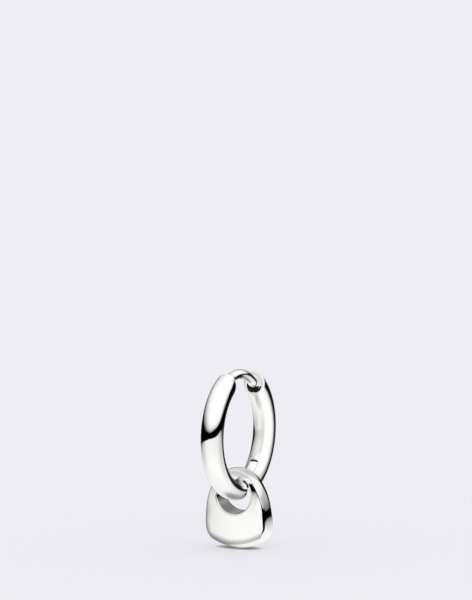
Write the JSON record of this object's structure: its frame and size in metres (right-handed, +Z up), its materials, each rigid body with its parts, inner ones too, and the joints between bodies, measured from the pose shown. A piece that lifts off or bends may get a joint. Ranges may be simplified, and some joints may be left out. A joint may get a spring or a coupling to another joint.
{
  "type": "huggie earring",
  "caption": "Hinged round hoop of polished silver tube with a curved ear post that snaps into a hollow catch, and a thick pebble-shaped drop hung on it by a round hole.",
  "frame": {"origin": "middle of the ear post, where the earring hangs from the lobe, straight above the hoop's centre", "axes": "+Z up from the hoop's centre to the ear post, +Y from the front half to the rear half, X along the hoop's axis"},
  "size_m": [0.0068, 0.0136, 0.0181],
  "materials": {
    "silver": "polished sterling silver"
  },
  "bodies": {
    "front": {"front_hoop": "silver"},
    "rear": {"rear_hoop": "silver", "hinge_pin": "silver"},
    "drop": {"drop": "silver"}
  },
  "joints": [
    {"name": "hoop_hinge", "type": "hinge", "parent": "front", "child": "rear", "pos_m": [0, 0.00252, -0.01108], "axis": [-1, 0, 0], "range_deg": [0, 75]},
    {"name": "drop_swing", "type": "hinge", "parent": "front", "child": "drop", "pos_m": [0, 0, -0.01166], "axis": [0, 1, 0], "range_deg": [-75, 75]}
  ]
}
